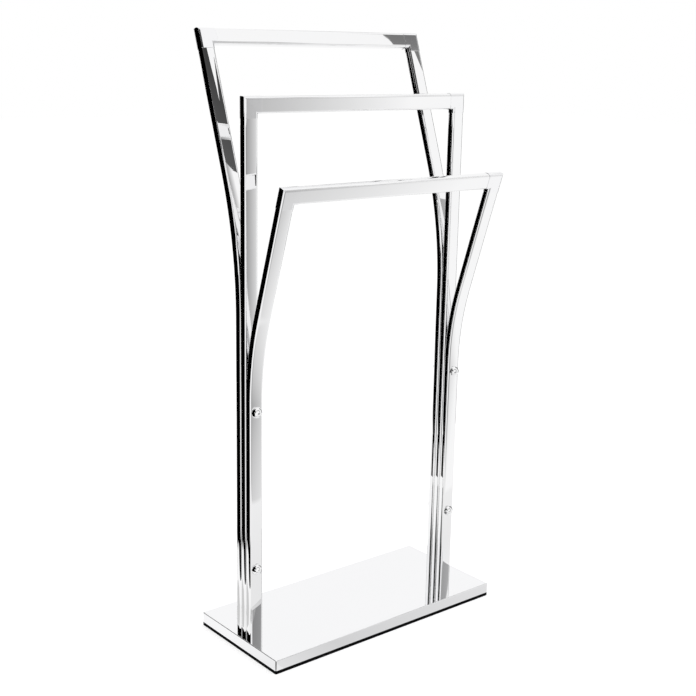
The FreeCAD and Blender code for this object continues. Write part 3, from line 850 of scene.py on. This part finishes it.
def add_card(name, low, high, tones, axis="Z", turn=0, point=None, rise=0.0):
    """A thin card between two corners, turned about its upright axis. Its tone runs from the
    first to the second along an axis. With a point, its lower edge is drawn together there.
    With a rise, its lower edge climbs by that much along Y."""
    middle = [(a + b) / 2 for a, b in zip(low, high)]
    bpy.ops.mesh.primitive_cube_add(size=1, location=middle)
    card = bpy.context.object
    card.name = name
    card.dimensions = [max(abs(b - a), CARD_THICKNESS) for a, b in zip(low, high)]
    card.rotation_euler = (0, 0, math.radians(turn))
    set_place(card)
    for corner in card.data.vertices:
        if corner.co.z < middle[2]:
            corner.co.x = corner.co.x if point is None else point
            corner.co.z += rise if corner.co.y > middle[1] else 0.0
    paint, tree, out = new_stage_paint(name)
    flat = add_node(tree, "ShaderNodeEmission", Strength=1.0)
    along = "XYZ".index(axis)
    tone = remap(tree, axis_value(tree, axis), low[along], high[along], *tones)
    tree.links.new(tone, flat.inputs["Color"])
    tree.links.new(flat.outputs[0], out.inputs["Surface"])
    card.data.materials.append(paint)
    card.visible_camera = card.visible_diffuse = card.visible_shadow = False
    card.visible_transmission = card.visible_volume_scatter = False
    print(name, "tones", tones)


BLACK = (0.0, 0.0)
WHITE = (1.0, 1.0)
print("cards are", CARD_THICKNESS * MILLIMETRES, "mm thick")

# %% [markdown]
# The dark bands down the legs are mirrored from the left. The near card gives the lower ends of
# those on the left-hand legs: its edge climbs to the back, so that they thin out to points near
# the foot. It darkens the side of the leaning back leg too, and the wall far behind does so for
# the right-hand one. The turned strip carries on the bands of the right-hand legs. Near its
# foot a leg mirrors the plate, and the plate mirrors what stands high: in this way the high
# black card draws the thin lines there.

# %% Cards on the left
add_card("black_card_left", (-0.33, -0.07, 0.040), (-0.33, 0.19, 1.5), BLACK, rise=0.045)
add_card("black_card_left_low", (-0.33, -0.16, 0.02), (-0.33, -0.07, 0.11), BLACK, rise=0.02)
add_card("black_card_left_behind", (-0.33, 0.19, 0.06), (-0.33, 0.36, 1.5), BLACK)
add_card("black_card_high_far_left", (-2.50, -3.2, 0.95), (-2.50, -0.3, 2.0), BLACK)
add_card("black_strip_behind", (-0.27, 0.2515, 0.03), (-0.068, 0.2515, 0.12), BLACK, turn=55)
add_card("black_wall_behind", (-5.3, 2.2, 0.0), (-1.30, 2.2, 1.05), BLACK)
add_card("dark_card_high_left", (-1.60, -1.25, 1.15), (-1.60, -0.20, 2.3), (0.02, 0.05))

# %% [markdown]
# A few cards of painted shade lie close to the plate, where the floor's painted tones have none.
# One greys the foot of the left-hand legs, two grey the front of the plate, which is nearly as pale
# as the air without them, and a small black one draws the line of the plate's front left corner.

# %% Painted shade round the plate
# Painted shade and a painted shadow on the floor beside the plate, seen only in the chrome.
add_card("painted_shade_left", (-0.335, 0.05, 0.0005), (-0.243, 0.205, 0.001), (0.63, 0.63))
add_card("painted_shade_front_left", (-0.20, -0.145, 0.0005), (-0.09, -0.1, 0.001), (0.80, 0.69), "X")
add_card("grey_paper_front", (-0.09, -0.145, 0.0005), (0.257, -0.1, 0.001), (0.69, 0.80), "X")
add_card("painted_shadow_corner", (-0.27, -0.15, 0.0005), (-0.2215, -0.1005, 0.001), BLACK)

# %% [markdown]
# The wide faces look to the front. The two low cards tone the bars and the upper parts of the
# legs from grey to white. Of the high ones the first makes the grey wedges at the feet, again by
# way of the plate. The dark one darkens the left back leg where it leans, the graded card does so
# at the lower end of its lean, and the white wedge cuts a bright point into the dark. The last
# greys the right end of the back bar.

# %% Cards in front
add_card("grey_card_front", (0.60, -1.5, 0.0), (1.45, -1.5, 0.92), (0.36, 1.0), "X")
add_card("white_card_front", (1.45, -1.5, 0.0), (3.4, -1.5, 0.92), WHITE)
add_card("grey_card_high_front", (0.55, -1.48, 0.85), (2.05, -1.48, 1.12), (0.27, 0.47), "X")
add_card("graded_card_high_front", (0.60, -1.49, 1.03), (1.00, -1.49, 1.66), (0.10, 1.0), "X")
add_card("dark_card_high_front", (-1.40, -1.47, 1.64), (1.34, -1.47, 2.13), (0.10, 0.045))
add_card("white_wedge", (0.93, -1.45, 1.90), (1.33, -1.45, 2.14), WHITE, point=1.07)
add_card("grey_card_top_right", (1.93, -1.5, 2.13), (2.5, -1.5, 2.6), (0.22, 0.12))

# %% [markdown]
# The last three stand to the right and behind. They add thin dark lines along the edges of the
# legs, which would be lost in the white air without them.

# %% Cards on the right and behind
add_card("dark_card_far_right", (1.95, 2.2, 1.7), (2.45, 2.2, 3.4), (0.02, 0.02))
add_card("dark_card_right", (1.1, -0.2, 0.0), (1.1, 0.35, 1.5), (0.05, 0.05))
add_card("dark_card_back", (-0.35, 1.5, 0.0), (-0.05, 1.5, 1.6), (0.10, 0.10))

# %% [markdown]
# ## Lamps
#
# Two large soft lamps light the floor and the mat, where small ones would draw hard shadows. The
# key is high on the left, the fill is on the right and weaker. Mirrors don't see them, because
# their square outline would show there.

# %% Lamps
LAMP_AIM = Vector((0, 0, 0.3))


def add_lamp(name, place, size, power):
    bpy.ops.object.light_add(type="AREA", location=place)
    lamp = bpy.context.object
    lamp.name = name
    lamp.data.shape = "SQUARE"
    lamp.data.size = size
    lamp.data.energy = power
    lamp.rotation_euler = (LAMP_AIM - Vector(place)).to_track_quat("-Z", "Y").to_euler()
    lamp.visible_glossy = False
    print(name, power, "W")


add_lamp("key_lamp", (-1.6, -1.4, 2.6), 1.6, 22)
add_lamp("fill_lamp", (1.9, -0.6, 2.0), 1.8, 9)

# %% [markdown]
# ## Finish
#
# The Standard view shows every tone as it is, where a filmic one would grey the white air.

# %% Finish
bpy.context.scene.view_settings.view_transform = "Standard"
